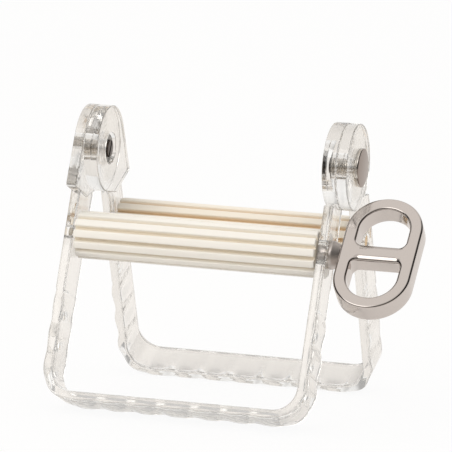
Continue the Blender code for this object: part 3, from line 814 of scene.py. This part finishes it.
waves = node(tree, "TexNoise", {"Vector": place, "Scale": 1 / WAVE_LENGTH, "Detail": 0.0})
turns = node(tree, "Math", {0: radius, 1: 2 * math.pi / RING_PITCH}, operation="MULTIPLY")
rings = node(tree, "Math", {0: turns}, operation="SINE")
fade = node(tree, "MapRange", {"Value": radius, "From Min": 13.9 * MM, "From Max": 13.2 * MM})
rings = node(tree, "Math", {0: rings, 1: fade}, operation="MULTIPLY")
bumps = {"Strength": 0.2, "Distance": 0.25 * MM, "Height": waves}
for relief, strength, depth in ((flow, 0.35, 0.06 * MM), (rings, 0.1, 0.03 * MM)):
    below = node(tree, "Bump", bumps)
    bumps = {"Strength": strength, "Distance": depth, "Height": relief, "Normal": below}
feed(shader, {"Normal": node(tree, "Bump", bumps)})
print("nodes in the clear plastic:", len(tree.nodes))

# %% [markdown]
# ### Cream ABS, moulded satin
#
# ABS for such rollers is moulded with a fine satin skin. In the narrow grooves light bounces from
# cream wall to cream wall and comes out warmer and dimmer; that shade is painted into the colour,
# which deepens towards the axis. The rear roller stands in the shade of the front one, and that
# shade is painted in too: both its colours are a little warmer.

# %% Cream plastic
GROOVE_FLOOR, CREST_START = 5.6 * MM, 7.7 * MM
SKIN_GRAIN = 0.35 * MM


def cream_plastic(name, axis, groove_shade, crest):
    """Painted groove shade: cream that deepens below the tooth crests, by the distance from the
    roller's axis.
    """
    made, tree, shader = finish(name, Roughness=0.42, IOR=1.54)
    depths = {"Value": off_axis(tree, axis), "From Min": GROOVE_FLOOR, "From Max": CREST_START}
    shades = {"Factor": node(tree, "MapRange", depths), "A": linear(groove_shade), "B": linear(crest)}
    place = node(tree, "TexCoord").outputs["Object"]
    grain = node(tree, "TexNoise", {"Vector": place, "Scale": 1 / SKIN_GRAIN, "Detail": 2.0})
    skin = node(tree, "Bump", {"Strength": 0.08, "Distance": 0.02 * MM, "Height": grain})
    feed(shader, {"Base Color": node(tree, "Mix", shades, data_type="RGBA"), "Normal": skin})
    return made


# Painted shade: the groove colour, and the rear roller's warmer colours.
cream = {"front": cream_plastic("cream ABS with painted groove shade, front roller", AXIS["front"], "F2E8D6", "F7F5EF"),
         "rear": cream_plastic("cream ABS with painted shade, rear roller", AXIS["rear"], "E6C9A0", "F7F0E3")}
print("cream plastics:", [material.name for material in cream.values()])

# %% [markdown]
# ### Chrome, nickel and steel
#
# The key is a zinc casting under nickel and chrome: nearly a mirror, slightly warm, with a faint
# unevenness in its polish about 3 mm across. Its hub, between ring and leg, is only brushed. The
# posts are nickel. The flat face of their heads is painted darker and browner than the rest: a
# painted reflection of the dim surroundings it faces.

# %% Metals
CLOUD_SIZE = 3 * MM
# The second colour is a painted reflection, darker and browner, for the flat face of the post heads.
NICKEL, NICKEL_PAINTED_REFLECTION = "DDD8D2", "8E8077"


def plated(name, colour, low, high):
    """A metal whose roughness wanders between two values."""
    made, tree, shader = finish(name, Base_Color=linear(colour), Metallic=1.0)
    place = node(tree, "TexCoord").outputs["Object"]
    cloud = node(tree, "TexNoise", {"Vector": place, "Scale": 1 / CLOUD_SIZE, "Detail": 2.0})
    rough = node(tree, "MapRange", {"Value": cloud, "To Min": low, "To Max": high})
    feed(shader, {"Roughness": rough})
    return made


chrome = plated("bright chrome plate", "CFC8C4", 0.07, 0.11)
nickel = plated("satin nickel plate", NICKEL_PAINTED_REFLECTION, 0.1, 0.18)
# The screws are given a dark grey-brown.
dark_steel = plated("dark grey steel", "4C423B", 0.2, 0.3)
steel = plated("spring steel", "8F8D8A", 0.25, 0.35)
print("metals:", [metal.name for metal in (chrome, nickel, dark_steel, steel)])

# %% The brushed hub and the painted dark reflection on the faces of the post heads
HUB_ROUGHNESS, HUB_END = 0.4, KEY_LEFT - HINGE[0] - 0.05 * MM
HEAD_FACE = POST_SEAT + 1.3 * MM


def sideways(tree):
    """How far a point is to the right of the frames' middle."""
    place = node(tree, "TexCoord").outputs["Object"]
    from_middle = node(tree, "VectorMath", {0: place, 1: HINGE}, operation="SUBTRACT")
    return node(tree, "SeparateXYZ", {0: from_middle}).outputs["X"]


tree = chrome.node_tree
shader = tree.nodes["Principled BSDF"]
polish = shader.inputs["Roughness"].links[0].from_node
on_hub = node(tree, "Math", {0: sideways(tree), 1: HUB_END}, operation="LESS_THAN")
feed(shader, {"Roughness": node(tree, "Mix", {"Factor": on_hub, "A": polish, "B": HUB_ROUGHNESS})})

tree = nickel.node_tree
outwards = node(tree, "Math", {0: sideways(tree)}, operation="ABSOLUTE")
# Painted reflection: the flat face of each post head is darker and browner than the barrel.
painted_reflection_face = node(tree, "Math", {0: outwards, 1: HEAD_FACE}, operation="GREATER_THAN")
nickel_and_painted_reflection = {"Factor": painted_reflection_face, "A": linear(NICKEL), "B": linear(NICKEL_PAINTED_REFLECTION)}
feed(tree.nodes["Principled BSDF"], {"Base Color": node(tree, "Mix", nickel_and_painted_reflection, data_type="RGBA")})

# %% [markdown]
# ## Dressing the object
#
# Each piece replaces its plain solid, rides with the same body, so that it still folds and turns,
# and takes its own finish.

# %% Replace, ride and paint
def dress(piece, cad_node, body, material):
    """Give a piece its material and hand it the place of its plain solid."""
    piece.data.materials.clear()
    piece.data.materials.append(material)
    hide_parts(cad_node)
    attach(piece, body)


dress(front_frame, "front_frame", "front_frame", clear_plastic)
dress(rear_frame, "rear_frame", "rear_frame", clear_plastic)
dress(front_roller, "front_roller", "front_roller", cream["front"])
dress(rear_roller, "rear_roller", "rear_roller", cream["rear"])
dress(turning_key, "turning_key", "front_roller", chrome)
for cad_node, piece in plugs.items():
    which = cad_node.split("_")[0]
    dress(piece, cad_node, f"{which}_roller", cream[which])
for cad_node, piece in hardware.items():
    kind = cad_node.split("_")[1]
    metal = {"post": nickel, "screw": dark_steel, "washer": steel}[kind]
    dress(piece, cad_node, "front_frame", metal)
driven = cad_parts["front_roller_plug_driven"]
driven.data.materials.clear()
driven.data.materials.append(cream["front"])

# %% [markdown]
# ## The camera
#
# A long lens from 1.5 m away, 17 degrees round to the right and almost 10 degrees up, slightly
# rolled. The object is off the middle of the picture, so the camera is moved sideways, not turned.

# %% Camera
AZIMUTH, ELEVATION, ROLL = (math.radians(v) for v in (16.96, 9.61, 1.78))
DISTANCE, SIDE_STEP, RISE = 1514.46 * MM, -1.48 * MM, 22.79 * MM
FOCAL_PIXELS, PICTURE, SENSOR = 4588.76, 452, 36.0

level = np.array([math.cos(AZIMUTH), math.sin(AZIMUTH), 0.0])
away = np.array([math.sin(AZIMUTH), -math.cos(AZIMUTH), 0.0])
back = math.cos(ELEVATION) * away + np.array([0, 0, math.sin(ELEVATION)])
above = np.cross(back, level)
right = math.cos(ROLL) * level + math.sin(ROLL) * above
up = math.cos(ROLL) * above - math.sin(ROLL) * level
eye = HINGE + DISTANCE * back - SIDE_STEP * right - RISE * up

camera = new_object("camera", bpy.data.cameras.new("camera"))
camera.matrix_world = Matrix([*np.stack([right, up, back, eye], -1).tolist(), [0, 0, 0, 1]])
camera.data.sensor_width = SENSOR
camera.data.lens = SENSOR * FOCAL_PIXELS / PICTURE
camera.data.clip_end = 20.0
bpy.context.scene.camera = camera
print("lens in mm:", round(camera.data.lens, 1), "eye in mm:", np.round(eye / MM).tolist())

# %% [markdown]
# ## Floor, sky and lamps
#
# The object stands on a white table in a white studio. Clear plastic and chrome show what is
# around them, so the surroundings matter more than the lamps. A camera ray that meets nothing sees
# plain white. Mirrored and bent rays see white behind, a warm grey overhead that the key's face
# mirrors, a dark front, and dark cards at the sides that draw the outlines of the plastic. Bent
# rays see all this paler. What reaches a matt surface is one even, slightly warm white.
#
# For the camera the table is mostly glow, to be as white as the sky behind it. The rest of it is
# plain paint, which shows the object's soft shadow. In front of the object the paint is grey, a
# painted shade for the dim near end of the table, and so is the glow that mirrored and bent rays
# meet there.

# %% Table
# The grey is painted shade for the table's dim near end in front of the object.
SHADED_TABLE_GREY, WHITE = linear("9F9A94"), linear("FFFFFF")
TOWARD_CAMERA = (0.29, -0.957, 0.0)
GREY_START, GREY_END = 0.10, 0.16
CAMERA_GLOW, MIRRORED_GLOW = 0.92, 0.3

table_mesh = bpy.data.meshes.new("table")
table_mesh.from_pydata([(-4, -4, 0), (4, -4, 0), (4, 4, 0), (-4, 4, 0)], [], [(0, 1, 2, 3)])
table = new_object("table", table_mesh)
table_white, tree, shader = finish("white table", Roughness=0.7)
table.data.materials.append(table_white)
print("the table turns grey from", GREY_START, "to", GREY_END, "m in front")


# %% What each kind of ray sees of the table
def mirrored_or_bent(tree, rays):
    """1 for a ray that left a mirror or came through something clear."""
    kinds = {0: rays["Is Glossy Ray"], 1: rays["Is Transmission Ray"]}
    return node(tree, "Math", kinds, operation="MAXIMUM")


rays = node(tree, "LightPath").outputs
bent = mirrored_or_bent(tree, rays)
place = node(tree, "TexCoord").outputs["Object"]
forward = node(tree, "VectorMath", {0: place, 1: TOWARD_CAMERA}, operation="DOT_PRODUCT")
ahead = node(tree, "MapRange", {"Value": forward, "From Min": GREY_START, "From Max": GREY_END})
# Painted shade: the paint turns grey in front of the object.
paint = {"Factor": ahead, "A": linear("F4F2F0"), "B": SHADED_TABLE_GREY}
feed(shader, {"Base Color": node(tree, "Mix", paint, data_type="RGBA")})
bent_into_shade = node(tree, "Math", {0: bent, 1: ahead}, operation="MULTIPLY")
paper = node(tree, "Mix", {"Factor": bent_into_shade, "A": WHITE, "B": SHADED_TABLE_GREY}, data_type="RGBA")
dim = node(tree, "Math", {0: bent, 1: MIRRORED_GLOW}, operation="MULTIPLY")
glows = {0: rays["Is Camera Ray"], 1: CAMERA_GLOW, 2: dim}
share = node(tree, "Math", glows, operation="MULTIPLY_ADD")
glow = node(tree, "Emission", {"Strength": 1.0, "Color": paper})
both = node(tree, "MixShader", {0: share, 1: shader, 2: glow})
feed(tree.nodes["Material Output"], {"Surface": both})

# %% Colours of the sky
SKY_OVERHEAD, SKY_FRONT, SKY_CARD, SKY_LIGHT = 0.72, 0.12, 0.05, 0.9
PALER_THROUGH_PLASTIC = 0.4


def warm_grey(level):
    """A plain warm grey at a linear level: red a little above it, blue a little below."""
    return (level * 1.04, level, level * 0.955, 1.0)


world = bpy.data.worlds.new("studio")
bpy.context.scene.world = world
world.use_nodes = True
tree = world.node_tree
tree.nodes.clear()
direction = node(tree, "TexCoord").outputs["Generated"]
axes = node(tree, "SeparateXYZ", {0: direction}).outputs

studio = WHITE
for axis, start, end, grey in (("Y", -0.45, -0.7, SKY_FRONT), ("Z", 0.45, 0.75, SKY_OVERHEAD),
                               ("X", 0.33, 0.5, SKY_CARD), ("X", -0.4, -0.55, SKY_CARD)):
    share = node(tree, "MapRange", {"Value": axes[axis], "From Min": start, "From Max": end})
    layers = {"Factor": share, "A": studio, "B": warm_grey(grey)}
    studio = node(tree, "Mix", layers, data_type="RGBA")

# %% What each kind of ray sees of the sky
rays = node(tree, "LightPath").outputs
seen_by = {0: mirrored_or_bent(tree, rays), 1: rays["Is Camera Ray"]}
seen = node(tree, "Math", seen_by, operation="MAXIMUM")
paler_for = {0: rays["Is Transmission Ray"], 1: PALER_THROUGH_PLASTIC, 2: rays["Is Camera Ray"]}
paler = node(tree, "Math", paler_for, operation="MULTIPLY_ADD")
shown = node(tree, "Mix", {"Factor": paler, "A": studio, "B": WHITE}, data_type="RGBA")
light = node(tree, "Background", {"Strength": SKY_LIGHT, "Color": warm_grey(1.0)})
white = node(tree, "Background", {"Strength": 1.0, "Color": shown})
both = node(tree, "MixShader", {0: seen, 1: light, 2: white})
node(tree, "OutputWorld", {"Surface": both})
print("nodes in the sky:", len(tree.nodes))

# %% Lamps
LAMP_TINT, LAMP_AIM = (1.0, 0.975, 0.94), Vector((0, 0, 0.05))


def softbox(name, direction, distance, size, radiance):
    """A square area lamp that faces the object; its power is radiance * pi * size squared."""
    lamp = new_object(name, bpy.data.lights.new(name, "AREA"))
    lamp.data.shape, lamp.data.size, lamp.data.color = "SQUARE", size, LAMP_TINT
    lamp.data.energy = radiance * math.pi * size ** 2
    lamp.location = LAMP_AIM + Vector(direction).normalized() * distance
    lamp.rotation_euler = (LAMP_AIM - lamp.location).to_track_quat("-Z", "Y").to_euler()
    print(name, "power in W:", round(lamp.data.energy, 2))


softbox("overhead panel", (-0.25, -0.12, 1.0), 1.2, 0.9, 0.2)
softbox("front softbox", (-0.35, -0.7, 0.55), 1.3, 0.8, 1.6)
bpy.context.scene.view_settings.view_transform = "Standard"

# %% [markdown]
# ## Enough bounces for clear plastic
#
# Light that enters a clear bar can be thrown from wall to wall dozens of times before it leaves.
# A path that is cut short comes back black, so the limits are set well above the usual twelve.

# %% Light paths
BOUNCES = 40
for limit in ("max_bounces", "transmission_bounces", "glossy_bounces"):
    setattr(bpy.context.scene.cycles, limit, BOUNCES)
print("bounces:", BOUNCES)
